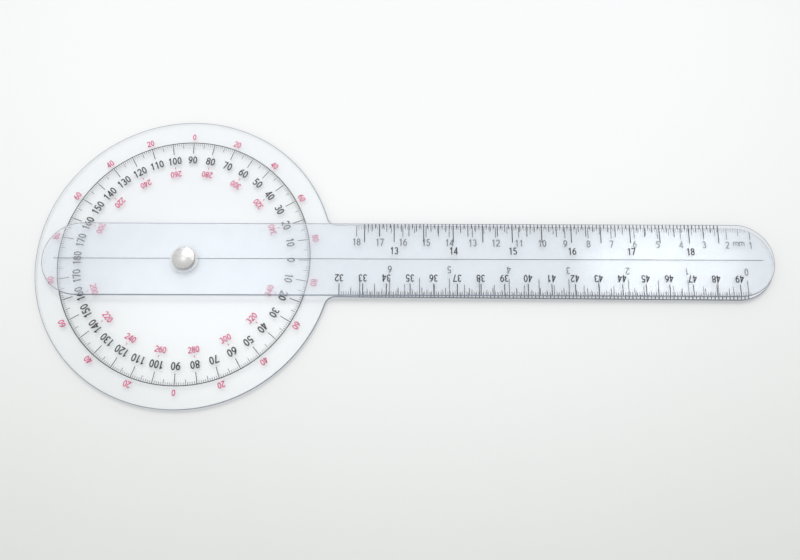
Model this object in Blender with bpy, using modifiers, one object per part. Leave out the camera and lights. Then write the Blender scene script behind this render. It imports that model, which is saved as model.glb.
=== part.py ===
"""Clear plastic 360-degree goniometer, the two-arm kind used to read joint angles.

A round dial plate with a fixed arm lies under a second, moving arm. Both turn on one pressed
rivet at the centre of the dial, with a thin friction washer between the two plates.

Frame: metres, +Z up. The origin is on the pivot's axis, at the flat underside of the rivet.
+X runs along the fixed arm towards its tip, and the scales are read from above.
"""
import math

import bpy

MM = 0.001

# Plates. Both are cut from the same clear sheet.
PLATE_THICKNESS = 1.2 * MM
DIAL_RADIUS = 63.5 * MM
ARM_WIDTH = 31.75 * MM
ARM_REACH = 252.5 * MM          # from the pivot to the tip of either arm
SHORT_END_REACH = 60.3 * MM     # how far the moving arm runs on behind the pivot
NECK_FILLET = 4.5 * MM          # where the fixed arm leaves the dial
PIVOT_HOLE_RADIUS = 2.1 * MM
REST_OPENING = math.radians(0.31)   # how far the closed arms stay apart

# Rivet: a barrel with a flat lower cap, and a domed upper cap whose post is pressed into it.
CAP_RADIUS = 4.75 * MM
CAP_EDGE_ROUND = 0.35 * MM
LOWER_CAP_THICKNESS = 0.5 * MM
UPPER_CAP_RIM = 0.45 * MM
UPPER_CAP_DOME = 0.75 * MM
BARREL_RADIUS = 2.0 * MM
BARREL_BORE_RADIUS = 1.3 * MM
BARREL_FLOOR = 0.4 * MM         # metal left between the bore and the level of the lower cap's top
POST_RADIUS = 1.2 * MM
POST_TIP_CHAMFER = 0.3 * MM
POST_END_GAP = 0.3 * MM

# Friction washer between the plates
WASHER_RADIUS = 6.0 * MM
WASHER_HOLE_RADIUS = 2.1 * MM
WASHER_THICKNESS = 0.15 * MM

RUNNING_GAP = 0.1 * MM          # between any two pieces that lie on each other

# Fineness of the round stretches
DIAL_SEGMENTS = 144             # for a full turn of the dial's rim
ARM_END_SEGMENTS = 36           # for the half turn at the end of an arm
FILLET_SEGMENTS = 6
HOLE_SEGMENTS = 36
RIVET_STEPS = 36
DOME_SEGMENTS = 5
EDGE_SEGMENTS = 3

# Levels of the stack, from the flat underside of the rivet upwards
PLATE_BOTTOM = LOWER_CAP_THICKNESS + RUNNING_GAP
PLATE_TOP = PLATE_BOTTOM + PLATE_THICKNESS
WASHER_BOTTOM = PLATE_TOP + RUNNING_GAP
ARM_BOTTOM = WASHER_BOTTOM + WASHER_THICKNESS + RUNNING_GAP
ARM_TOP = ARM_BOTTOM + PLATE_THICKNESS
UPPER_CAP_BOTTOM = ARM_TOP + RUNNING_GAP


def remove_objects():
    for obj in list(bpy.data.objects):
        bpy.data.objects.remove(obj, do_unlink=True)


def make_collection(name):
    collection = bpy.data.collections.new(name)
    bpy.context.scene.collection.children.link(collection)
    return collection


def make_material(name, colour, roughness, metallic=0.0, transmission=0.0, alpha=1.0):
    material = bpy.data.materials.new(name)
    material.use_nodes = True
    shader = material.node_tree.nodes["Principled BSDF"]
    shader.inputs["Base Color"].default_value = (*colour, 1.0)
    shader.inputs["Roughness"].default_value = roughness
    shader.inputs["Metallic"].default_value = metallic
    shader.inputs["Transmission Weight"].default_value = transmission
    shader.inputs["Alpha"].default_value = alpha
    material.diffuse_color = (*colour, alpha)
    material.metallic = metallic
    material.roughness = roughness
    return material


def arc(centre_x, centre_y, radius, start, end, segments):
    """Points from the angle start to the angle end, both included."""
    points = []
    for step in range(segments + 1):
        angle = start + (end - start) * step / segments
        points.append((centre_x + radius * math.cos(angle), centre_y + radius * math.sin(angle)))
    return points


def circle(radius, segments):
    return arc(0.0, 0.0, radius, 0.0, 2 * math.pi, segments)[:-1]


def dial_plate_outline():
    """The dial with its fixed arm: a round tip, and a fillet on each side of the neck."""
    half_width = ARM_WIDTH / 2
    fillet_y = half_width + NECK_FILLET
    fillet_x = math.sqrt((DIAL_RADIUS + NECK_FILLET) ** 2 - fillet_y ** 2)
    neck_angle = math.atan2(fillet_y, fillet_x)
    dial_share = 1.0 - neck_angle / math.pi

    tip = arc(ARM_REACH - half_width, 0.0, half_width, -math.pi / 2, math.pi / 2, ARM_END_SEGMENTS)
    upper_fillet = arc(fillet_x, fillet_y, NECK_FILLET,
                       -math.pi / 2, -math.pi + neck_angle, FILLET_SEGMENTS)
    dial = arc(0.0, 0.0, DIAL_RADIUS, neck_angle, 2 * math.pi - neck_angle,
               round(DIAL_SEGMENTS * dial_share))
    lower_fillet = [(x, -y) for x, y in reversed(upper_fillet)]
    return tip + upper_fillet + dial[1:-1] + lower_fillet


def moving_arm_outline():
    """A straight bar with two round ends, the short one behind the pivot."""
    half_width = ARM_WIDTH / 2
    long_end = arc(ARM_REACH - half_width, 0.0, half_width,
                   -math.pi / 2, math.pi / 2, ARM_END_SEGMENTS)
    short_end = arc(half_width - SHORT_END_REACH, 0.0, half_width,
                    math.pi / 2, 3 * math.pi / 2, ARM_END_SEGMENTS)
    return long_end + short_end


def add_flat_piece(name, outline, hole, bottom, thickness, collection, parent, material):
    """A sheet piece with the given outline and one round hole, its underside at bottom."""
    curve = bpy.data.curves.new(name, 'CURVE')
    curve.dimensions = '2D'
    curve.fill_mode = 'BOTH'
    curve.extrude = thickness / 2
    for points in (outline, hole):
        spline = curve.splines.new('POLY')
        spline.points.add(len(points) - 1)
        for point, (x, y) in zip(spline.points, points):
            point.co = (x, y, 0.0, 1.0)
        spline.use_cyclic_u = True
    curve.materials.append(material)

    piece = bpy.data.objects.new(name, curve)
    piece.location.z = bottom + thickness / 2
    piece.parent = parent
    collection.objects.link(piece)
    return piece


def add_turned_piece(name, profile, collection, parent, material):
    """A solid turned about Z from (radius, height) points, listed down its outer side."""
    mesh = bpy.data.meshes.new(name)
    vertices = [(radius, 0.0, height) for radius, height in profile]
    edges = [(index, index + 1) for index in range(len(vertices) - 1)]
    mesh.from_pydata(vertices, edges, [])
    mesh.materials.append(material)

    piece = bpy.data.objects.new(name, mesh)
    piece.parent = parent
    collection.objects.link(piece)
    screw = piece.modifiers.new("turn", 'SCREW')
    screw.axis = 'Z'
    screw.angle = 2 * math.pi
    screw.steps = RIVET_STEPS
    screw.render_steps = RIVET_STEPS
    screw.use_merge_vertices = True
    screw.merge_threshold = 0.001 * MM
    screw.use_smooth_shade = True
    return piece


def rounded_rim(radius, height, start, end):
    """The rim's rounded corner, as (radius, height) points about the corner's centre."""
    return arc(radius, height, CAP_EDGE_ROUND, start, end, EDGE_SEGMENTS)


def barrel_profile():
    """The lower half of the rivet: barrel mouth, barrel, then the flat cap."""
    cap_top = LOWER_CAP_THICKNESS
    bore_floor = cap_top + BARREL_FLOOR
    barrel_top = UPPER_CAP_BOTTOM - RUNNING_GAP
    rim_centre = CAP_RADIUS - CAP_EDGE_ROUND
    profile = [(0.0, bore_floor), (BARREL_BORE_RADIUS, bore_floor)]
    profile += [(BARREL_BORE_RADIUS, barrel_top), (BARREL_RADIUS, barrel_top)]
    profile += [(BARREL_RADIUS, cap_top), (CAP_RADIUS, cap_top)]
    profile += rounded_rim(rim_centre, CAP_EDGE_ROUND, 0.0, -math.pi / 2)
    profile += [(0.0, 0.0)]
    return profile


def upper_cap_profile():
    """The upper half of the rivet: a low dome, its rim, then the post down into the barrel."""
    rim_top = UPPER_CAP_BOTTOM + UPPER_CAP_RIM
    dome_radius = (CAP_RADIUS ** 2 + UPPER_CAP_DOME ** 2) / (2 * UPPER_CAP_DOME)
    dome_centre = rim_top + UPPER_CAP_DOME - dome_radius
    dome_half_angle = math.asin(CAP_RADIUS / dome_radius)
    post_end = LOWER_CAP_THICKNESS + BARREL_FLOOR + POST_END_GAP

    profile = arc(0.0, dome_centre, dome_radius,
                  math.pi / 2, math.pi / 2 - dome_half_angle, DOME_SEGMENTS)
    profile[0] = (0.0, rim_top + UPPER_CAP_DOME)
    profile += [(CAP_RADIUS, UPPER_CAP_BOTTOM), (POST_RADIUS, UPPER_CAP_BOTTOM)]
    profile += [(POST_RADIUS, post_end + POST_TIP_CHAMFER)]
    profile += [(POST_RADIUS - POST_TIP_CHAMFER, post_end), (0.0, post_end)]
    return profile


def build_goniometer():
    collection = make_collection("goniometer")
    clear_plastic = make_material("clear_plastic", (0.80, 0.84, 0.90), 0.12,
                                  transmission=0.8, alpha=0.35)
    frosted_plastic = make_material("moving_arm_plastic", (0.82, 0.85, 0.90), 0.25,
                                    transmission=0.7, alpha=0.4)
    washer_plastic = make_material("washer_plastic", (0.85, 0.86, 0.85), 0.4, transmission=0.4)
    cap_metal = make_material("rivet_cap_metal", (0.72, 0.71, 0.69), 0.25, metallic=1.0)
    barrel_metal = make_material("rivet_barrel_metal", (0.68, 0.67, 0.65), 0.3, metallic=1.0)

    base = bpy.data.objects.new("goniometer_base", None)
    collection.objects.link(base)
    pivot = bpy.data.objects.new("arm_pivot", None)
    pivot.rotation_euler.z = REST_OPENING
    pivot.parent = base
    collection.objects.link(pivot)

    pivot_hole = circle(PIVOT_HOLE_RADIUS, HOLE_SEGMENTS)
    add_flat_piece("dial_plate", dial_plate_outline(), pivot_hole,
                   PLATE_BOTTOM, PLATE_THICKNESS, collection, base, clear_plastic)
    add_flat_piece("friction_washer", circle(WASHER_RADIUS, HOLE_SEGMENTS),
                   circle(WASHER_HOLE_RADIUS, HOLE_SEGMENTS),
                   WASHER_BOTTOM, WASHER_THICKNESS, collection, base, washer_plastic)
    add_flat_piece("moving_arm", moving_arm_outline(), pivot_hole,
                   ARM_BOTTOM, PLATE_THICKNESS, collection, pivot, frosted_plastic)
    add_turned_piece("rivet_barrel", barrel_profile(), collection, base, barrel_metal)
    add_turned_piece("rivet_cap", upper_cap_profile(), collection, base, cap_metal)


remove_objects()
build_goniometer()
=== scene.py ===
"""Looks of the clear plastic goniometer: soft-edged sheets, printed scales, nickel rivet, studio.

All lengths are in metres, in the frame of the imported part. The outer sizes and the levels are
read from the part. The neck's fillets and the inside of the rivet repeat its values.
"""
import math

import bmesh
import bpy
from mathutils import Matrix, Vector


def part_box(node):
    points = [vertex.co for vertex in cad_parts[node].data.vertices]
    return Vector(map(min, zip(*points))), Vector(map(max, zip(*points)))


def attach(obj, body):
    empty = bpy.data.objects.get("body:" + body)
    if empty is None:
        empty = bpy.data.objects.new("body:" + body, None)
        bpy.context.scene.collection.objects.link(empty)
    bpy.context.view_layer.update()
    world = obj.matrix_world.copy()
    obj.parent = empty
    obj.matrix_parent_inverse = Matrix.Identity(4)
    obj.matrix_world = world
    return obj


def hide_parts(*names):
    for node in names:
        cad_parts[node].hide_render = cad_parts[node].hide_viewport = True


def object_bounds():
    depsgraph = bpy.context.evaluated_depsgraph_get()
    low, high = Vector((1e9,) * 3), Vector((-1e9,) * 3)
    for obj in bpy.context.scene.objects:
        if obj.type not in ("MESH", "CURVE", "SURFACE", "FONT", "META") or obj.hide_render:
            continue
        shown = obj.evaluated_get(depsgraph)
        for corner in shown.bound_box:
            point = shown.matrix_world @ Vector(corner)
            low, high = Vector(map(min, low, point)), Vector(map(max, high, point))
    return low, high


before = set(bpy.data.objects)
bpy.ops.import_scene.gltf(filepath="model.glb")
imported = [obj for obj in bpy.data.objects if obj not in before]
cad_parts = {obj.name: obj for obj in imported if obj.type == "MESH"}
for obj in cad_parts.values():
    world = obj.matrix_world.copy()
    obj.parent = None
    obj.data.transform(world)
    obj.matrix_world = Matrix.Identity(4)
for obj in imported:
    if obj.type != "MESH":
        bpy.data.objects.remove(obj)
CAD_LOW, CAD_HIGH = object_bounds()

MM = 0.001
UP = Vector((0.0, 0.0, 1.0))

# ---------------------------------------------------------------- sizes read from the part

DIAL_LOW, DIAL_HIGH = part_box("dial_plate")
ARM_LOW, ARM_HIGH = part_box("moving_arm")
WASHER_LOW, WASHER_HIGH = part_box("friction_washer")
CAP_LOW, CAP_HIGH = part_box("rivet_cap")
BARREL_LOW, BARREL_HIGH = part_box("rivet_barrel")

DIAL_RADIUS = -DIAL_LOW.x
ARM_REACH = DIAL_HIGH.x


def node_points(name):
    return [vertex.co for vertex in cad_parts[name].data.vertices]


def flat_distance(point):
    return math.hypot(point.x, point.y)


def fixed_arm_half_width():
    """Half the width of the fixed arm, measured beyond the dial."""
    beyond = [point for point in node_points("dial_plate") if point.x > 2 * DIAL_RADIUS]
    return max(point.y for point in beyond)


def moving_arm_rest_angle():
    """The angle at which the moving arm's tip stands at rest."""
    tip = max(node_points("moving_arm"), key=flat_distance)
    return math.atan2(tip.y, tip.x)


def moving_arm_short_reach():
    """How far the moving arm runs on behind the pivot."""
    behind = [point for point in node_points("moving_arm") if point.x < 0]
    return max(flat_distance(point) for point in behind)


def hole_radius(name):
    return min(flat_distance(point) for point in node_points(name))


HALF_WIDTH = fixed_arm_half_width()
REST_ANGLE = moving_arm_rest_angle()
SHORT_REACH = moving_arm_short_reach()
DIAL_TOP = DIAL_HIGH.z
ARM_TOP = ARM_HIGH.z
ARM_TURN = Matrix.Rotation(REST_ANGLE, 4, 'Z')
NO_TURN = Matrix.Identity(4)

# ---------------------------------------------------------------- sizes of the looks

NECK_FILLET = 4.5 * MM          # where the fixed arm leaves the dial
EDGE_ROUND = 0.34 * MM          # radius of the sheets' rounded edges
EDGE_ROUND_RESOLUTION = 2
RIM_SEGMENTS = 360
END_SEGMENTS = 90
FILLET_SEGMENTS = 12
HOLE_SEGMENTS = 64
WELD_DISTANCE = 0.0005 * MM
LEVEL_NORMAL = 0.999            # a face whose normal is at least this upright is a broad one
SHEET_CREASE = math.radians(10)     # an edge that bends more than this is drawn sharp
TURNED_CREASE = math.radians(35)

RUNNING_GAP = 0.1 * MM          # between the rivet's caps and the sheets
CAP_RIM = 0.22 * MM             # radius of the upper cap's rolled rim
CAP_DOME_SEGMENTS = 24
CAP_RIM_SEGMENTS = 10
POST_RADIUS = 1.2 * MM
POST_CHAMFER = 0.3 * MM
BARREL_RADIUS = 2.0 * MM
BORE_RADIUS = 1.3 * MM
BORE_FLOOR = 0.4 * MM           # metal left between the bore and the level of the foot's top
FOOT_TOP_ROUND = 0.1 * MM
FOOT_TOP_SEGMENTS = 4
FOOT_RIM = 0.3 * MM
FOOT_RIM_SEGMENTS = 8
WASHER_CHAMFER = 0.03 * MM
TURN_STEPS = 96                 # for a full turn of the rivet and the washer

INK_HEIGHT = 0.02 * MM          # how far a print stands out of the sheet
INK_DEPTH = 0.01 * MM           # how far it is keyed into the sheet

SCALE_RADIUS = 53.7 * MM        # the printed circle of the degree scale
SCALE_LINE = 0.36 * MM
BLACK_NUMBER_RADIUS = 45.6 * MM
BLACK_NUMBER_HEIGHT = 3.4 * MM
RED_INNER_RADIUS = 39.3 * MM
RED_INNER_HEIGHT = 2.7 * MM
RED_DASH_RADIUS = 42.2 * MM
RED_DASH_LENGTH = 0.9 * MM
RED_DASH_WIDTH = 0.28 * MM
RED_OUTER_RADIUS = 56.5 * MM
RED_OUTER_HEIGHT = 2.7 * MM
DEGREE_LINES = (                # every so many degrees, length, line width
    (10, 5.0 * MM, 0.30 * MM),
    (5, 2.5 * MM, 0.20 * MM),
    (1, 1.3 * MM, 0.17 * MM),
)

CENTIMETRE = 10 * MM
INCH = 25.4 * MM
SIXTEENTH = INCH / 16
EDGE_MARGIN = 0.30 * MM         # between the sheet's edge and the outer ends of its rulers' lines
RULER_NUMBER_HEIGHT = 3.2 * MM
FIXED_CM_NUMBER_Y = 8.3 * MM    # from the arm's middle line to the middle of the numbers
MOVING_CM_NUMBER_Y = 8.3 * MM
INCH_NUMBER_Y = 3.7 * MM
UNIT_LABEL_Y = 9.3 * MM
UNIT_LABEL_HEIGHT = 2.6 * MM
CM_LINES = (                    # every so many millimetres, length, line width
    (10, 4.8 * MM, 0.38 * MM),
    (5, 3.1 * MM, 0.30 * MM),
    (1, 1.5 * MM, 0.20 * MM),
)
INCH_LINES = (                  # every so many sixteenths, length, line width
    (8, 8.1 * MM, 0.40 * MM),
    (4, 5.4 * MM, 0.34 * MM),
    (2, 3.3 * MM, 0.30 * MM),
    (1, 1.8 * MM, 0.38 * MM),
)

# Each ruler: where it starts, measured along its arm from the pivot, its lines and its numbers
FIXED_CM_ZERO_X = 253.3 * MM
FIXED_CM_LINES = range(10, 181)         # in millimetres from the start
FIXED_CM_NUMBERS = range(1, 19)
UNIT_LABEL_AT = 1.5                     # in centimetres, between two numbers
FIXED_INCH_ZERO_X = 240.2 * MM
FIXED_INCH_LINES = range(0, 105)        # in sixteenths from the start
FIXED_INCH_NUMBERS = range(0, 7)
MOVING_CM_START = 32                    # what the ruler reads at its start
MOVING_CM_START_X = 66.4 * MM
MOVING_CM_LINES = range(0, 175)         # in millimetres from the start
MOVING_CM_NUMBERS = range(32, 50)
MOVING_INCH_START = 12.5                # what the ruler reads at its start
MOVING_INCH_START_X = 76.9 * MM
MOVING_INCH_LINES = range(0, 97)        # in sixteenths from the start
MOVING_INCH_NUMBERS = range(13, 19)

READING_LINE_WIDTH = 0.22 * MM
READING_LINE_MARGIN = 5.0 * MM  # left clear at both of the arm's ends
RIVET_MARGIN = 1.0 * MM         # left clear round the rivet

# Numbers and letters are drawn as strokes in a box that is one unit tall.
GLYPH_WIDTH = {"m": 0.92}
DIGIT_WIDTH = 0.54
GLYPH_GAP = 0.065
WAIST = 0.53                    # where the two halves of 3 and 8 meet
BOLD = 0.150                    # width of a stroke
LIGHT = 0.140
SHARPEST_MITRE = 0.6            # keeps the corner of a sharp bend from running out to a spike

# ---------------------------------------------------------------- optics and colours

PLASTIC_IOR = 1.53
INK_IOR = 1.48
NYLON_IOR = 1.5

# The sheets' cut edges have one look from outside the sheet and another from within it: the dark
# outside colours are painted shade, the bright inside milk is painted light.
EDGE_MILK_PAINTED_SHADE = (0.38, 0.40, 0.45)
EDGE_MILK_PAINTED_LIGHT = (0.94, 0.95, 0.97)
EDGE_TINT_PAINTED_SHADE = (0.26, 0.29, 0.36)
EDGE_TINT_INSIDE = (0.99, 0.99, 1.00)
EDGE_PASSED_OUTSIDE = (0.32, 0.33, 0.36)    # the light that goes through to what lies below
EDGE_PASSED_INSIDE = (0.93, 0.94, 0.95)
EDGE_FROST_OUTSIDE = 0.65       # the milky share; the rest is rough glass
EDGE_FROST_INSIDE = 0.95
INK_PASSED = (0.5, 0.5, 0.5)

SHEET_RELIEF = 0.02 * MM        # depth of each material's bumps at full strength
EDGE_RELIEF = 0.03 * MM
INK_RELIEF = 0.01 * MM
METAL_RELIEF = 0.02 * MM
NYLON_RELIEF = 0.02 * MM

# ---------------------------------------------------------------- sizes of the studio

TABLE_HALF_SIDE = 8.0
TABLE_GAP = 0.05 * MM           # between the table and the object's lowest face
# The table's colour is painted light near the object, fading to painted shade further out.
TABLE_PAINTED_LIGHT = (0.905, 0.908, 0.903)
TABLE_PAINTED_SHADE = (0.610, 0.616, 0.588)
PAINTED_LIGHT_NARROWING = (0.65, 1.0, 1.0)   # the painted pool of light on the table is an oval
PAINTED_LIGHT_SHIFT = (-55 * MM, -110 * MM, 0.0)
PAINTED_LIGHT_FROM, PAINTED_LIGHT_TO = 0.08, 0.36     # distance over which the table goes from painted light to painted shade

SURROUNDINGS_BRIGHTEST = (-0.25, 0.45, 0.86)    # the direction in which they are brightest
SURROUNDINGS_DARK_FROM = -0.5       # darkest where they face that direction this little
SURROUNDINGS_DARK, SURROUNDINGS_BRIGHT = 0.10, 1.07
SURROUNDINGS_COLOUR = (0.97, 0.985, 1.0)
BACKDROP_COLOUR = (0.68, 0.685, 0.67)
LAMPS = (                       # towards each soft lamp overhead, its spread in degrees, strength
    ((-0.26, 0.18, 0.95), 10.0, 1.1),
    ((0.36, 0.23, 0.90), 7.5, 2.3),
)
KEY_TOWARD = (0.0, 0.62, 0.785)
KEY_STRENGTH = 1.02
KEY_SPREAD = math.radians(28.0)     # how much of the sky the key light fills
KEY_COLOUR = (1.0, 0.99, 0.97)

CAMERA_ELEVATION = math.radians(76.5)
CAMERA_AZIMUTH = math.radians(1.15)
CAMERA_ROLL = math.radians(1.61)
CAMERA_TARGET = Vector((92.2 * MM, -8.3 * MM, DIAL_TOP))
CAMERA_DISTANCE = 290.9 * MM
SENSOR_WIDTH = 36.0             # in millimetres, as the lens is
LENS = 30.77


# ---------------------------------------------------------------- node helpers

def new_material(name):
    material = bpy.data.materials.new(name)
    material.use_nodes = True
    material.node_tree.nodes.clear()
    return material


def add_node(tree, kind, **values):
    """A node with its inputs set by name, with _ for a space, and its properties in lower case."""
    node = tree.nodes.new(kind)
    for key, value in values.items():
        if key[0].isupper():
            node.inputs[key.replace("_", " ")].default_value = value
        else:
            setattr(node, key, value)
    return node


def noise(tree, coordinates, scale, detail=3.0, stretch=(1.0, 1.0, 1.0), turn=(0.0, 0.0, 0.0)):
    """A noise texture. Its values run from about 0.25 to 0.75."""
    mapping = add_node(tree, "ShaderNodeMapping", Scale=stretch, Rotation=turn)
    texture = add_node(tree, "ShaderNodeTexNoise", Scale=scale, Detail=detail)
    tree.links.new(coordinates, mapping.inputs["Vector"])
    tree.links.new(mapping.outputs[0], texture.inputs["Vector"])
    return texture.outputs["Fac"]


def ranged(tree, value, low, high, to_low, to_high):
    """The value stretched from one range to another, and kept inside it."""
    node = add_node(tree, "ShaderNodeMapRange", From_Min=low, From_Max=high,
                    To_Min=to_low, To_Max=to_high)
    tree.links.new(value, node.inputs["Value"])
    return node.outputs[0]


def math_node(tree, operation, first, second):
    node = add_node(tree, "ShaderNodeMath", operation=operation)
    for socket, value in zip(node.inputs, (first, second)):
        if isinstance(value, (int, float)):
            socket.default_value = value
        else:
            tree.links.new(value, socket)
    return node.outputs[0]


def colour_mix(tree, factor, first, second):
    """A blend of two colours; at a factor of 0 it is the first."""
    node = add_node(tree, "ShaderNodeMix", data_type='RGBA')
    tree.links.new(factor, node.inputs[0])
    node.inputs[6].default_value = (*first, 1.0)
    node.inputs[7].default_value = (*second, 1.0)
    return node.outputs[2]


def shader_mix(tree, factor, first, second):
    """A blend of two shaders; at a factor of 0 it is the first."""
    node = add_node(tree, "ShaderNodeMixShader")
    if isinstance(factor, float):
        node.inputs[0].default_value = factor
    else:
        tree.links.new(factor, node.inputs[0])
    tree.links.new(first, node.inputs[1])
    tree.links.new(second, node.inputs[2])
    return node.outputs[0]


def bump(tree, height, strength, distance):
    node = add_node(tree, "ShaderNodeBump", Strength=strength, Distance=distance)
    tree.links.new(height, node.inputs["Height"])
    return node.outputs[0]


def finish_material(tree, shader):
    output = add_node(tree, "ShaderNodeOutputMaterial")
    tree.links.new(shader, output.inputs["Surface"])


# ---------------------------------------------------------------- materials

def scratches(tree, coordinates):
    """Fine straight handling marks in three directions, as a height."""
    total = None
    for angle, scale in ((0.35, 260.0), (1.5, 220.0), (2.5, 300.0)):
        lines = noise(tree, coordinates, scale, detail=1.0, stretch=(1.0, 0.02, 1.0),
                      turn=(0.0, 0.0, angle))
        marks = ranged(tree, lines, 0.66, 0.72, 0.0, 1.0)
        total = marks if total is None else math_node(tree, 'MAXIMUM', total, marks)
    return total


def sheet_material(name, tint, haze, haze_colour, roughness, passed):
    """Clear plastic sheet: it bends what is seen through it and has a milky share.

    The tint and the haze count once for each of the sheet's two faces. For light on its way to
    what lies below, each face is a plain tinted pane, and passed is the share that it lets by.
    """
    material = new_material(name)
    tree = material.node_tree
    where = add_node(tree, "ShaderNodeTexCoord").outputs["Object"]
    ripple = noise(tree, where, 45.0, detail=1.0)
    marks = scratches(tree, where)
    height = math_node(tree, 'ADD', ripple, math_node(tree, 'MULTIPLY', marks, -0.25))
    normal = bump(tree, height, 0.08, SHEET_RELIEF)
    smudges = noise(tree, where, 28.0, detail=4.0)
    gloss = ranged(tree, smudges, 0.35, 0.7, roughness, roughness + 0.02)

    glass = add_node(tree, "ShaderNodeBsdfGlass", Color=(*tint, 1.0), IOR=PLASTIC_IOR)
    tree.links.new(gloss, glass.inputs["Roughness"])
    tree.links.new(normal, glass.inputs["Normal"])
    milk_top = add_node(tree, "ShaderNodeBsdfDiffuse", Color=(*haze_colour, 1.0))
    milk_through = add_node(tree, "ShaderNodeBsdfTranslucent", Color=(*haze_colour, 1.0))
    milk = shader_mix(tree, 0.5, milk_top.outputs[0], milk_through.outputs[0])
    clouds = noise(tree, where, 60.0, detail=5.0)
    haze_share = ranged(tree, clouds, 0.3, 0.7, haze * 0.85, haze * 1.15)
    sheet = shader_mix(tree, haze_share, glass.outputs[0], milk)

    clear = add_node(tree, "ShaderNodeBsdfTransparent",
                     Color=(*(passed * channel for channel in tint), 1.0))
    path = add_node(tree, "ShaderNodeLightPath")
    lit = shader_mix(tree, path.outputs["Is Shadow Ray"], sheet, clear.outputs[0])
    bounced = shader_mix(tree, path.outputs["Is Diffuse Ray"], lit, clear.outputs[0])
    finish_material(tree, bounced)
    return material


def edge_material():
    """The sheets' cut edges: frosted, with painted shade when seen from outside and painted light
    when seen from within.

    Light on its way to what lies below meets a tinted pane, as it does on the broad faces.
    """
    material = new_material("cut_edge")
    tree = material.node_tree
    where = add_node(tree, "ShaderNodeTexCoord").outputs["Object"]
    grain = noise(tree, where, 600.0, detail=3.0)
    inside = add_node(tree, "ShaderNodeNewGeometry").outputs["Backfacing"]
    # Backfacing picks painted shade for the edge seen from outside and painted light for it seen
    # from within
    painted_light_and_shade_milk = colour_mix(tree, inside, EDGE_MILK_PAINTED_SHADE, EDGE_MILK_PAINTED_LIGHT)
    tint = colour_mix(tree, inside, EDGE_TINT_PAINTED_SHADE, EDGE_TINT_INSIDE)
    glass = add_node(tree, "ShaderNodeBsdfGlass", IOR=PLASTIC_IOR)
    tree.links.new(tint, glass.inputs["Color"])
    tree.links.new(ranged(tree, grain, 0.3, 0.7, 0.25, 0.45), glass.inputs["Roughness"])
    tree.links.new(bump(tree, grain, 0.3, EDGE_RELIEF), glass.inputs["Normal"])
    milk_top = add_node(tree, "ShaderNodeBsdfDiffuse")
    milk_through = add_node(tree, "ShaderNodeBsdfTranslucent")
    tree.links.new(painted_light_and_shade_milk, milk_top.inputs["Color"])
    tree.links.new(painted_light_and_shade_milk, milk_through.inputs["Color"])
    milk = shader_mix(tree, 0.5, milk_top.outputs[0], milk_through.outputs[0])
    frost = ranged(tree, inside, 0.0, 1.0, EDGE_FROST_OUTSIDE, EDGE_FROST_INSIDE)
    frosted = shader_mix(tree, frost, glass.outputs[0], milk)

    clear = add_node(tree, "ShaderNodeBsdfTransparent")
    passed = colour_mix(tree, inside, EDGE_PASSED_OUTSIDE, EDGE_PASSED_INSIDE)
    tree.links.new(passed, clear.inputs["Color"])
    path = add_node(tree, "ShaderNodeLightPath")
    lit = shader_mix(tree, path.outputs["Is Shadow Ray"], frosted, clear.outputs[0])
    bounced = shader_mix(tree, path.outputs["Is Diffuse Ray"], lit, clear.outputs[0])
    finish_material(tree, bounced)
    return material


def ink_material(name, colour, worn_colour):
    """Screen-printed ink: satin, a little uneven and thinner in places.

    It lets half of the light by to what lies below, so that the prints' shadows stay faint.
    """
    material = new_material(name)
    tree = material.node_tree
    where = add_node(tree, "ShaderNodeTexCoord").outputs["Object"]
    mottle = noise(tree, where, 900.0, detail=4.0)
    ink = add_node(tree, "ShaderNodeBsdfPrincipled", IOR=INK_IOR)
    wear = ranged(tree, mottle, 0.45, 0.75, 0.0, 1.0)
    tree.links.new(colour_mix(tree, wear, colour, worn_colour), ink.inputs["Base Color"])
    tree.links.new(ranged(tree, mottle, 0.3, 0.7, 0.35, 0.55), ink.inputs["Roughness"])
    tree.links.new(bump(tree, mottle, 0.2, INK_RELIEF), ink.inputs["Normal"])

    clear = add_node(tree, "ShaderNodeBsdfTransparent", Color=(*INK_PASSED, 1.0))
    path = add_node(tree, "ShaderNodeLightPath")
    lit = shader_mix(tree, path.outputs["Is Shadow Ray"], ink.outputs[0], clear.outputs[0])
    finish_material(tree, lit)
    return material


def nickel_material():
    """Nickel plating with a fine turned grain and handling marks."""
    material = new_material("nickel")
    tree = material.node_tree
    where = add_node(tree, "ShaderNodeTexCoord").outputs["Object"]
    rings = add_node(tree, "ShaderNodeTexWave", wave_type='RINGS', rings_direction='Z',
                     Scale=2600.0, Distortion=1.5, Detail=2.0)
    tree.links.new(where, rings.inputs["Vector"])
    grain = noise(tree, where, 700.0, detail=4.0)
    ring_height = math_node(tree, 'MULTIPLY', rings.outputs["Fac"], 0.3)
    height = math_node(tree, 'ADD', ring_height, grain)
    metal = add_node(tree, "ShaderNodeBsdfPrincipled", Metallic=1.0)
    tree.links.new(colour_mix(tree, grain, (0.58, 0.57, 0.55), (0.68, 0.67, 0.65)),
                   metal.inputs["Base Color"])
    tree.links.new(ranged(tree, grain, 0.3, 0.7, 0.16, 0.32), metal.inputs["Roughness"])
    tree.links.new(bump(tree, height, 0.15, METAL_RELIEF), metal.inputs["Normal"])
    finish_material(tree, metal.outputs[0])
    return material


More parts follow.
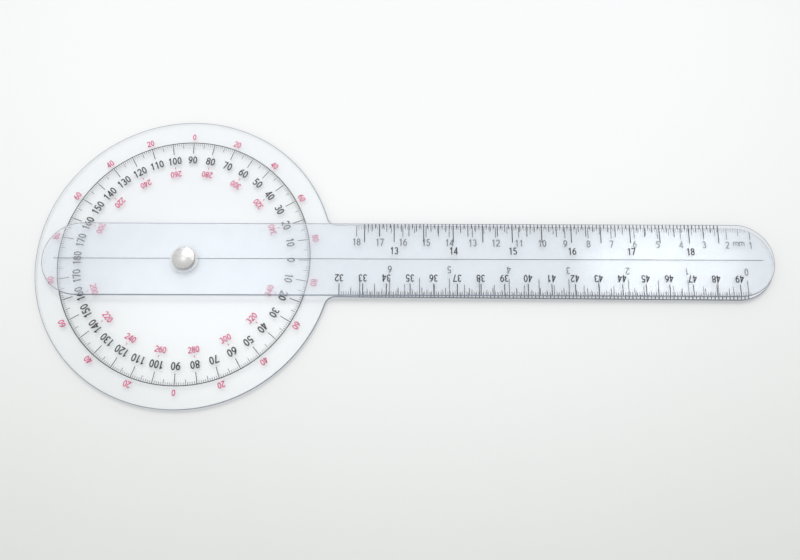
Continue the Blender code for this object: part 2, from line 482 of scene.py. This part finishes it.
def washer_material():
    """Milky nylon that light sinks into a little."""
    material = new_material("washer_nylon")
    tree = material.node_tree
    where = add_node(tree, "ShaderNodeTexCoord").outputs["Object"]
    grain = noise(tree, where, 500.0, detail=3.0)
    nylon = add_node(tree, "ShaderNodeBsdfPrincipled", IOR=NYLON_IOR)
    nylon.inputs["Subsurface Weight"].default_value = 0.4
    nylon.inputs["Subsurface Scale"].default_value = 0.5 * MM
    tree.links.new(colour_mix(tree, grain, (0.74, 0.75, 0.74), (0.82, 0.83, 0.82)),
                   nylon.inputs["Base Color"])
    tree.links.new(ranged(tree, grain, 0.3, 0.7, 0.35, 0.5), nylon.inputs["Roughness"])
    tree.links.new(bump(tree, grain, 0.2, NYLON_RELIEF), nylon.inputs["Normal"])
    finish_material(tree, nylon.outputs[0])
    return material


def table_material():
    """Pale paper with a painted pool of light behind the object, and painted shade all round."""
    material = new_material("table")
    tree = material.node_tree
    where = add_node(tree, "ShaderNodeTexCoord").outputs["Object"]
    narrowed = add_node(tree, "ShaderNodeMapping", Location=PAINTED_LIGHT_SHIFT, Scale=PAINTED_LIGHT_NARROWING)
    tree.links.new(where, narrowed.inputs["Vector"])
    away = add_node(tree, "ShaderNodeVectorMath", operation='LENGTH')
    tree.links.new(narrowed.outputs[0], away.inputs[0])
    waver = math_node(tree, 'MULTIPLY', noise(tree, where, 6.0), 0.02)
    uneven = math_node(tree, 'ADD', away.outputs["Value"], waver)
    painted_falloff = add_node(tree, "ShaderNodeMapRange", interpolation_type='SMOOTHSTEP',
                    From_Min=PAINTED_LIGHT_FROM, From_Max=PAINTED_LIGHT_TO)
    tree.links.new(uneven, painted_falloff.inputs["Value"])
    surface = add_node(tree, "ShaderNodeBsdfPrincipled", Roughness=0.85)
    surface.inputs["Specular IOR Level"].default_value = 0.2
    # the paper's colour carries the painted light and its painted falloff
    tree.links.new(colour_mix(tree, painted_falloff.outputs[0], TABLE_PAINTED_LIGHT, TABLE_PAINTED_SHADE),
                   surface.inputs["Base Color"])
    finish_material(tree, surface.outputs[0])
    return material


CLEAR_SHEET = sheet_material("clear_sheet", tint=(0.990, 0.996, 1.000), haze=0.02,
                             haze_colour=(0.88, 0.93, 0.98), roughness=0.0, passed=0.99)
HAZY_SHEET = sheet_material("hazy_sheet", tint=(0.981, 0.989, 1.000), haze=0.16,
                            haze_colour=(0.88, 0.91, 0.95), roughness=0.02, passed=0.97)
CUT_EDGE = edge_material()
BLACK_INK = ink_material("black_ink", (0.036, 0.038, 0.045), (0.080, 0.083, 0.094))
RED_INK = ink_material("red_ink", (0.610, 0.035, 0.165), (0.680, 0.065, 0.230))
NICKEL = nickel_material()
NYLON = washer_material()


# ---------------------------------------------------------------- outlines

def arc(centre_x, centre_y, radius, start, end, segments):
    """Points from the angle start to the angle end, both included."""
    points = []
    for step in range(segments + 1):
        angle = start + (end - start) * step / segments
        points.append((centre_x + radius * math.cos(angle), centre_y + radius * math.sin(angle)))
    return points


def circle(radius, segments):
    return arc(0.0, 0.0, radius, 0.0, 2 * math.pi, segments)[:-1]


def dial_outline():
    """The dial with its fixed arm: a round tip, and a fillet on each side of the neck."""
    fillet_y = HALF_WIDTH + NECK_FILLET
    fillet_x = math.sqrt((DIAL_RADIUS + NECK_FILLET) ** 2 - fillet_y ** 2)
    neck_angle = math.atan2(fillet_y, fillet_x)
    tip = arc(ARM_REACH - HALF_WIDTH, 0.0, HALF_WIDTH, -math.pi / 2, math.pi / 2, END_SEGMENTS)
    upper_fillet = arc(fillet_x, fillet_y, NECK_FILLET,
                       -math.pi / 2, -math.pi + neck_angle, FILLET_SEGMENTS)
    rim = arc(0.0, 0.0, DIAL_RADIUS, neck_angle, 2 * math.pi - neck_angle, RIM_SEGMENTS)
    lower_fillet = [(x, -y) for x, y in reversed(upper_fillet)]
    return tip + upper_fillet + rim[1:-1] + lower_fillet


def arm_outline():
    """A straight bar with two round ends, the short one behind the pivot."""
    long_end = arc(ARM_REACH - HALF_WIDTH, 0.0, HALF_WIDTH,
                   -math.pi / 2, math.pi / 2, END_SEGMENTS)
    short_end = arc(HALF_WIDTH - SHORT_REACH, 0.0, HALF_WIDTH,
                    math.pi / 2, 3 * math.pi / 2, END_SEGMENTS)
    return long_end + short_end


# ---------------------------------------------------------------- building pieces

def mesh_piece(name, mesh, materials, body, replaces=None):
    piece = bpy.data.objects.new(name, mesh)
    bpy.context.scene.collection.objects.link(piece)
    for material in materials:
        mesh.materials.append(material)
    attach(piece, body)
    if replaces:
        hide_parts(replaces)
    return piece


def curve_mesh(curve):
    """The mesh that a curve makes. Its caps are still loose from its sides."""
    holder = bpy.data.objects.new("holder", curve)
    bpy.context.scene.collection.objects.link(holder)
    graph = bpy.context.evaluated_depsgraph_get()
    mesh = bpy.data.meshes.new_from_object(holder.evaluated_get(graph))
    bpy.data.objects.remove(holder)
    return mesh


def welded(mesh):
    """The same mesh with the points that lie on each other joined, and its faces outwards."""
    work = bmesh.new()
    work.from_mesh(mesh)
    bmesh.ops.remove_doubles(work, verts=work.verts, dist=WELD_DISTANCE)
    bmesh.ops.recalc_face_normals(work, faces=work.faces)
    work.to_mesh(mesh)
    work.free()
    return mesh


def add_sheet(name, outline, hole, bottom, top, turn, materials, body, replaces):
    """A sheet with softly rounded edges. Its broad faces take the first material."""
    curve = bpy.data.curves.new(name, 'CURVE')
    curve.dimensions = '2D'
    curve.fill_mode = 'BOTH'
    curve.bevel_depth = EDGE_ROUND
    curve.bevel_resolution = EDGE_ROUND_RESOLUTION
    curve.offset = -EDGE_ROUND
    curve.extrude = (top - bottom) / 2 - EDGE_ROUND
    for points in (outline, hole):
        spline = curve.splines.new('POLY')
        spline.points.add(len(points) - 1)
        for point, (x, y) in zip(spline.points, points):
            point.co = (x, y, 0.0, 1.0)
        spline.use_cyclic_u = True
    mesh = welded(curve_mesh(curve))
    mesh.transform(turn @ Matrix.Translation(UP * (top + bottom) / 2))
    for face in mesh.polygons:
        broad = abs(face.normal.z) > LEVEL_NORMAL
        face.material_index = 0 if broad else 1
        face.use_smooth = not broad
    mesh.set_sharp_from_angle(angle=SHEET_CREASE)
    return mesh_piece(name, mesh, materials, body, replaces)


def add_turned(name, profile, material, body, replaces):
    """A solid turned about the pivot's axis from (radius, height) points, down its outer side."""
    mesh = bpy.data.meshes.new(name)
    vertices = [(radius, 0.0, height) for radius, height in profile]
    edges = [(index, index + 1) for index in range(len(vertices) - 1)]
    mesh.from_pydata(vertices, edges, [])
    piece = mesh_piece(name, mesh, [material], body, replaces)
    screw = piece.modifiers.new("turn", 'SCREW')
    screw.axis = 'Z'
    screw.steps = TURN_STEPS
    screw.render_steps = TURN_STEPS
    screw.use_merge_vertices = True
    screw.merge_threshold = WELD_DISTANCE
    screw.use_smooth_shade = True
    smooth = piece.modifiers.new("edges", 'EDGE_SPLIT')
    smooth.split_angle = TURNED_CREASE
    return piece


# ---------------------------------------------------------------- prints

def ink_borders(points, width, closed):
    """The left and right borders of a line of ink that runs along the points."""
    left, right = [], []
    last = len(points) - 1
    for index, point in enumerate(points):
        before = points[index - 1] if closed or index > 0 else None
        after = points[(index + 1) % len(points)] if closed or index < last else None
        arriving = ((point - before) if before else (after - point)).normalized()
        leaving = ((after - point) if after else (point - before)).normalized()
        across = Vector((-arriving.y - leaving.y, arriving.x + leaving.x)).normalized()
        mitre = max(across.dot(Vector((-arriving.y, arriving.x))), SHARPEST_MITRE)
        left.append(point + across * width / 2 / mitre)
        right.append(point - across * width / 2 / mitre)
    return left, right


def add_ink(work, points, width, surface, closed=False):
    """A solid line of ink along the points, on a sheet whose upper face is at surface."""
    left, right = ink_borders([Vector(point) for point in points], width, closed)
    low, high = surface - INK_DEPTH, surface + INK_HEIGHT
    rails = []
    for border, level in ((right, low), (right, high), (left, high), (left, low)):
        rails.append([work.verts.new((*point, level)) for point in border])
    count = len(left)
    for index in range(count if closed else count - 1):
        after = (index + 1) % count
        for rail, beside in zip(rails, rails[1:] + rails[:1]):
            work.faces.new((rail[index], rail[after], beside[after], beside[index]))
    if not closed:
        work.faces.new([rail[0] for rail in rails])
        work.faces.new([rail[-1] for rail in reversed(rails)])


def oval(centre_x, centre_y, half_width, half_height, start, end, segments=14):
    """Points on an oval between two angles in degrees, the end included."""
    points = []
    for step in range(segments + 1):
        angle = math.radians(start + (end - start) * step / segments)
        points.append((centre_x + half_width * math.cos(angle),
                       centre_y + half_height * math.sin(angle)))
    return points


def whole_oval(centre_x, centre_y, half_width, half_height):
    return oval(centre_x, centre_y, half_width, half_height, 0, 360, 20)[:-1]


def glyph(character, weight):
    """The open strokes and the closed strokes of a digit or of the letter m."""
    left, right = weight / 2, DIGIT_WIDTH - weight / 2
    low, high = weight / 2, 1 - weight / 2
    middle, half = DIGIT_WIDTH / 2, (right - left) / 2
    upper, upper_half = (high + WAIST) / 2, (high - WAIST) / 2
    lower, lower_half = (low + WAIST) / 2, (WAIST - low) / 2
    if character == "0":
        return [], [whole_oval(middle, 0.5, half, (high - low) / 2)]
    if character == "1":
        stem = middle + 0.06
        return [[(stem, 0.0), (stem, 1.0)], [(stem - 0.19, 0.74), (stem, 0.92)]], []
    if character == "2":
        hook = oval(middle, high - 0.25, half, 0.25, 165, -35)
        return [hook + [(left, low + 0.02)], [(0.0, low), (DIGIT_WIDTH, low)]], []
    if character == "3":
        return [oval(middle - 0.01, upper, half - 0.02, upper_half, 155, -90),
                oval(middle - 0.01, lower, half, lower_half, 90, -155)], []
    if character == "4":
        stem = right - 0.07
        return [[(stem, 0.0), (stem, 1.0)], [(stem, high), (left, 0.27)],
                [(0.0, 0.27), (DIGIT_WIDTH, 0.27)]], []
    if character == "5":
        flag = [(right, high), (left + 0.06, high), (left + 0.03, 0.50)]
        return [flag, oval(middle - 0.01, low + 0.25, half, 0.26, 130, -155)], []
    if character == "6":
        stem = oval(right, low + 0.27, 2 * half, high - low - 0.27, 180, 95)
        return [stem], [whole_oval(middle, low + 0.26, half, 0.26)]
    if character == "7":
        return [[(0.0, high), (right, high), (middle - 0.07, 0.0)]], []
    if character == "8":
        return [], [whole_oval(middle, upper, half - 0.02, upper_half),
                    whole_oval(middle, lower, half, lower_half)]
    if character == "9":
        stem = oval(left, high - 0.27, 2 * half, high - low - 0.27, 0, -85)
        return [stem], [whole_oval(middle, high - 0.26, half, 0.26)]
    legs = []
    bow = (GLYPH_WIDTH["m"] - weight) / 4
    for foot, start in ((left, 0.0), (left + 2 * bow, 0.3)):
        legs.append([(foot, start), (foot, 0.7)])
        legs.append(oval(foot + bow, 0.45, bow, 0.22, 180, 0) + [(foot + 2 * bow, 0.0)])
    return legs, []


def add_text(work, text, x, y, height, turn, surface, weight=BOLD):
    """Text with its middle at x, y, turned by the angle turn."""
    widths = [GLYPH_WIDTH.get(character, DIGIT_WIDTH) for character in text]
    run = sum(widths) + GLYPH_GAP * (len(text) - 1)
    facing = Matrix.Rotation(turn, 4, 'Z')
    place = Matrix.Translation((x, y, 0.0)) @ facing @ Matrix.Scale(height, 4)
    start = -run / 2
    for character, width in zip(text, widths):
        for strokes, closed in zip(glyph(character, weight), (False, True)):
            for stroke in strokes:
                points = [place @ Vector((start + px, py - 0.5, 0.0)) for px, py in stroke]
                add_ink(work, [point.xy for point in points], weight * height, surface, closed)
        start += width + GLYPH_GAP


def finish_print(name, work, turn, material, body):
    mesh = bpy.data.meshes.new(name)
    bmesh.ops.recalc_face_normals(work, faces=work.faces)
    work.to_mesh(mesh)
    work.free()
    mesh.transform(turn)
    return mesh_piece(name, mesh, [material], body)


def polar(radius, degrees):
    angle = math.radians(degrees)
    return Vector((radius * math.cos(angle), radius * math.sin(angle)))


def line_for(step, table):
    """The length and width of the line at a whole step, from the coarsest row that it is in."""
    for every, length, width in table:
        if step % every == 0:
            return length, width
    return None


def print_degree_lines():
    work = bmesh.new()
    add_ink(work, circle(SCALE_RADIUS, RIM_SEGMENTS), SCALE_LINE, DIAL_TOP, closed=True)
    outer = SCALE_RADIUS - SCALE_LINE / 2
    for degree in range(360):
        length, width = line_for(degree, DEGREE_LINES)
        ends = polar(outer, degree), polar(SCALE_RADIUS - length, degree)
        add_ink(work, ends, width, DIAL_TOP)
    finish_print("dial_degree_lines", work, NO_TURN, BLACK_INK, "dial")


def print_degree_numbers():
    """0 to 180 round both halves of the dial, read from its middle outwards."""
    work = bmesh.new()
    for angle in range(-170, 181, 10):
        place = polar(BLACK_NUMBER_RADIUS, angle)
        add_text(work, str(abs(angle)), place.x, place.y, BLACK_NUMBER_HEIGHT,
                   math.radians(angle - 90), DIAL_TOP)
    finish_print("dial_degree_numbers", work, NO_TURN, BLACK_INK, "dial")


def print_red_numbers():
    """The second count, up to 360, read from outside, with a dash above each number."""
    work = bmesh.new()
    for angle in list(range(-160, 0, 20)) + list(range(20, 161, 20)):
        place = polar(RED_INNER_RADIUS, angle)
        add_text(work, str(360 - abs(angle)), place.x, place.y, RED_INNER_HEIGHT,
                   math.radians(angle + 90), DIAL_TOP, LIGHT)
        dash = [polar(RED_DASH_RADIUS + end * RED_DASH_LENGTH / 2, angle) for end in (1, -1)]
        add_ink(work, dash, RED_DASH_WIDTH, DIAL_TOP)
    finish_print("dial_red_inner_numbers", work, NO_TURN, RED_INK, "dial")


def print_outer_numbers():
    """The count away from the square position, outside the circle."""
    work = bmesh.new()
    for middle in (90, -90):
        for offset in range(-80, 81, 20):
            angle = middle + offset
            place = polar(RED_OUTER_RADIUS, angle)
            add_text(work, str(abs(offset)), place.x, place.y, RED_OUTER_HEIGHT,
                       math.radians(angle - 90), DIAL_TOP, LIGHT)
    finish_print("dial_red_outer_numbers", work, NO_TURN, RED_INK, "dial")


def edge_height(x):
    """How far from the arm's middle line the ink may reach, at x along the arm."""
    past = x - (ARM_REACH - HALF_WIDTH)
    if past <= 0:
        return HALF_WIDTH - EDGE_MARGIN
    return math.sqrt(max(HALF_WIDTH ** 2 - past ** 2, 0.0)) - EDGE_MARGIN


def add_ruler_line(work, x, side, length, width, surface):
    """A line from the arm's edge inwards. side is 1 for the +Y edge and -1 for the other."""
    inner = HALF_WIDTH - EDGE_MARGIN - length
    outer = edge_height(x)
    if outer - inner > width:
        add_ink(work, [(x, side * outer), (x, side * inner)], width, surface)


def print_fixed_arm_centimetres():
    """Centimetres from the tip, along the +Y edge."""
    work = bmesh.new()
    for step in FIXED_CM_LINES:
        length, width = line_for(step, CM_LINES)
        add_ruler_line(work, FIXED_CM_ZERO_X - step * MM, 1, length, width, DIAL_TOP)
    for value in FIXED_CM_NUMBERS:
        add_text(work, str(value), FIXED_CM_ZERO_X - value * CENTIMETRE, FIXED_CM_NUMBER_Y,
                 RULER_NUMBER_HEIGHT, 0.0, DIAL_TOP)
    add_text(work, "mm", FIXED_CM_ZERO_X - UNIT_LABEL_AT * CENTIMETRE, UNIT_LABEL_Y,
             UNIT_LABEL_HEIGHT, 0.0, DIAL_TOP)
    finish_print("fixed_arm_centimetres", work, NO_TURN, BLACK_INK, "dial")


def print_fixed_arm_inches():
    """Inches from near the tip, along the -Y edge, with the numbers' tops at the edge."""
    work = bmesh.new()
    for step in FIXED_INCH_LINES:
        length, width = line_for(step, INCH_LINES)
        add_ruler_line(work, FIXED_INCH_ZERO_X - step * SIXTEENTH, -1, length, width, DIAL_TOP)
    for value in FIXED_INCH_NUMBERS:
        add_text(work, str(value), FIXED_INCH_ZERO_X - value * INCH, -INCH_NUMBER_Y,
                 RULER_NUMBER_HEIGHT, math.pi, DIAL_TOP)
    finish_print("fixed_arm_inches", work, NO_TURN, BLACK_INK, "dial")


def print_moving_arm_centimetres():
    """The fixed arm's centimetres carried on, to be read with the arms opened flat."""
    work = bmesh.new()
    for step in MOVING_CM_LINES:
        length, width = line_for(step, CM_LINES)
        add_ruler_line(work, MOVING_CM_START_X + step * MM, -1, length, width, ARM_TOP)
    for value in MOVING_CM_NUMBERS:
        x = MOVING_CM_START_X + (value - MOVING_CM_START) * CENTIMETRE
        add_text(work, str(value), x, -MOVING_CM_NUMBER_Y, RULER_NUMBER_HEIGHT, math.pi, ARM_TOP)
    finish_print("moving_arm_centimetres", work, ARM_TURN, BLACK_INK, "arm")


def print_moving_arm_inches():
    """The fixed arm's inches carried on, along the +Y edge."""
    work = bmesh.new()
    for step in MOVING_INCH_LINES:
        length, width = line_for(step, INCH_LINES)
        add_ruler_line(work, MOVING_INCH_START_X + step * SIXTEENTH, 1, length, width, ARM_TOP)
    for value in MOVING_INCH_NUMBERS:
        x = MOVING_INCH_START_X + (value - MOVING_INCH_START) * INCH
        add_text(work, str(value), x, INCH_NUMBER_Y, RULER_NUMBER_HEIGHT, 0.0, ARM_TOP)
    finish_print("moving_arm_inches", work, ARM_TURN, BLACK_INK, "arm")


def print_reading_line():
    """The line that reads the dial, broken at the rivet."""
    work = bmesh.new()
    clear_of_rivet = CAP_HIGH.x + RIVET_MARGIN
    for end in (ARM_REACH - READING_LINE_MARGIN, READING_LINE_MARGIN - SHORT_REACH):
        start = math.copysign(clear_of_rivet, end)
        add_ink(work, [(start, 0.0), (end, 0.0)], READING_LINE_WIDTH, ARM_TOP)
    finish_print("moving_arm_reading_line", work, ARM_TURN, BLACK_INK, "arm")


# ---------------------------------------------------------------- rivet and washer

def add_rivet_cap():
    """A low dome with a rolled rim, and the post below it."""
    under = ARM_TOP + RUNNING_GAP
    rim_centre = CAP_HIGH.x - CAP_RIM
    rise = CAP_HIGH.z - under - 2 * CAP_RIM
    dome_radius = (rim_centre ** 2 + rise ** 2) / (2 * rise)
    dome_end = math.pi / 2 - math.asin(rim_centre / dome_radius)
    profile = arc(0.0, CAP_HIGH.z - dome_radius, dome_radius,
                  math.pi / 2, dome_end, CAP_DOME_SEGMENTS)
    profile[0] = (0.0, CAP_HIGH.z)
    profile += arc(rim_centre, under + CAP_RIM, CAP_RIM, dome_end, -math.pi / 2, CAP_RIM_SEGMENTS)
    profile += [(POST_RADIUS, under), (POST_RADIUS, CAP_LOW.z + POST_CHAMFER)]
    profile += [(POST_RADIUS - POST_CHAMFER, CAP_LOW.z), (0.0, CAP_LOW.z)]
    add_turned("rivet_dome", profile, NICKEL, "dial", "rivet_cap")


def add_rivet_barrel():
    """The flat lower cap and the hollow barrel."""
    radius = BARREL_HIGH.x
    cap_top = DIAL_LOW.z - RUNNING_GAP
    bore_floor = cap_top + BORE_FLOOR
    profile = [(0.0, bore_floor), (BORE_RADIUS, bore_floor), (BORE_RADIUS, BARREL_HIGH.z)]
    profile += [(BARREL_RADIUS, BARREL_HIGH.z), (BARREL_RADIUS, cap_top)]
    profile += arc(radius - FOOT_TOP_ROUND, cap_top - FOOT_TOP_ROUND, FOOT_TOP_ROUND,
                   math.pi / 2, 0.0, FOOT_TOP_SEGMENTS)
    profile += arc(radius - FOOT_RIM, BARREL_LOW.z + FOOT_RIM, FOOT_RIM,
                   0.0, -math.pi / 2, FOOT_RIM_SEGMENTS)
    profile += [(0.0, BARREL_LOW.z)]
    add_turned("rivet_foot", profile, NICKEL, "dial", "rivet_barrel")


def add_washer():
    """The thin ring between the sheets, with its four corners taken off."""
    outer, inner = WASHER_HIGH.x, hole_radius("friction_washer")
    low, high = WASHER_LOW.z, WASHER_HIGH.z
    cut = WASHER_CHAMFER
    profile = [(inner, high - cut), (inner + cut, high), (outer - cut, high)]
    profile += [(outer, high - cut), (outer, low + cut), (outer - cut, low)]
    profile += [(inner + cut, low), (inner, low + cut), (inner, high - cut)]
    add_turned("washer_ring", profile, NYLON, "dial", "friction_washer")


# ---------------------------------------------------------------- the object

add_sheet("dial_sheet", dial_outline(), circle(hole_radius("dial_plate"), HOLE_SEGMENTS),
          DIAL_LOW.z, DIAL_HIGH.z, NO_TURN, [CLEAR_SHEET, CUT_EDGE],
          "dial", "dial_plate")
add_sheet("arm_sheet", arm_outline(), circle(hole_radius("moving_arm"), HOLE_SEGMENTS),
          ARM_LOW.z, ARM_HIGH.z, ARM_TURN, [HAZY_SHEET, CUT_EDGE],
          "arm", "moving_arm")
add_rivet_cap()
add_rivet_barrel()
add_washer()
print_degree_lines()
print_degree_numbers()
print_red_numbers()
print_outer_numbers()
print_fixed_arm_centimetres()
print_fixed_arm_inches()
print_moving_arm_centimetres()
print_moving_arm_inches()
print_reading_line()


# ---------------------------------------------------------------- studio

def add_table():
    mesh = bpy.data.meshes.new("table")
    work = bmesh.new()
    bmesh.ops.create_grid(work, x_segments=1, y_segments=1, size=TABLE_HALF_SIDE)
    work.to_mesh(mesh)
    work.free()
    table = bpy.data.objects.new("table", mesh)
    table.location.z = CAD_LOW.z - TABLE_GAP
    mesh.materials.append(table_material())
    bpy.context.scene.collection.objects.link(table)


def add_key_light():
    """An even light from behind and above the object."""
    light = bpy.data.lights.new("key", 'SUN')
    light.energy = KEY_STRENGTH
    light.angle = KEY_SPREAD
    light.color = KEY_COLOUR
    lamp = bpy.data.objects.new("key", light)
    lamp.rotation_euler = Vector(KEY_TOWARD).to_track_quat('Z', 'Y').to_euler()
    bpy.context.scene.collection.objects.link(lamp)


def facing_node(tree, direction, toward):
    """How closely a direction points toward another: 1 when they are the same."""
    node = add_node(tree, "ShaderNodeVectorMath", operation='DOT_PRODUCT')
    node.inputs[1].default_value = Vector(toward).normalized()
    tree.links.new(direction, node.inputs[0])
    return node.outputs["Value"]


def set_world():
    """Pale surroundings with two soft lamps overhead; a plain tone is seen behind the table."""
    world = bpy.data.worlds.new("studio")
    world.use_nodes = True
    tree = world.node_tree
    tree.nodes.clear()
    direction = add_node(tree, "ShaderNodeTexCoord").outputs["Generated"]
    brightness = ranged(tree, facing_node(tree, direction, SURROUNDINGS_BRIGHTEST),
                        SURROUNDINGS_DARK_FROM, 1.0, SURROUNDINGS_DARK, SURROUNDINGS_BRIGHT)
    for toward, spread, strength in LAMPS:
        lamp = add_node(tree, "ShaderNodeMapRange", interpolation_type='SMOOTHSTEP',
                        From_Min=math.cos(math.radians(spread)), From_Max=1.0, To_Max=strength)
        tree.links.new(facing_node(tree, direction, toward), lamp.inputs["Value"])
        brightness = math_node(tree, 'ADD', brightness, lamp.outputs[0])
    seen = add_node(tree, "ShaderNodeBackground", Color=(*BACKDROP_COLOUR, 1.0), Strength=1.0)
    lighting = add_node(tree, "ShaderNodeBackground", Color=(*SURROUNDINGS_COLOUR, 1.0))
    tree.links.new(brightness, lighting.inputs["Strength"])
    path = add_node(tree, "ShaderNodeLightPath")
    mixed = shader_mix(tree, path.outputs["Is Camera Ray"], lighting.outputs[0], seen.outputs[0])
    output = add_node(tree, "ShaderNodeOutputWorld")
    tree.links.new(mixed, output.inputs["Surface"])
    bpy.context.scene.world = world


def add_camera():
    """The view of the object from above its middle, leaning back over the -Y edge."""
    level = math.cos(CAMERA_ELEVATION)
    look = Vector((math.sin(CAMERA_AZIMUTH) * level, math.cos(CAMERA_AZIMUTH) * level,
                   -math.sin(CAMERA_ELEVATION)))
    data = bpy.data.cameras.new("camera")
    data.sensor_width = SENSOR_WIDTH
    data.lens = LENS
    data.clip_start = 0.01
    data.clip_end = 50.0
    camera = bpy.data.objects.new("camera", data)
    camera.location = CAMERA_TARGET - look * CAMERA_DISTANCE
    facing = look.to_track_quat('-Z', 'Y').to_matrix().to_4x4()
    camera.rotation_euler = (facing @ Matrix.Rotation(CAMERA_ROLL, 4, 'Z')).to_euler()
    bpy.context.scene.collection.objects.link(camera)
    bpy.context.scene.camera = camera


add_table()
set_world()
add_key_light()
add_camera()
bpy.context.scene.view_settings.view_transform = 'Standard'
bpy.context.scene.cycles.transparent_max_bounces = 24   # both sheets' faces and the prints on them
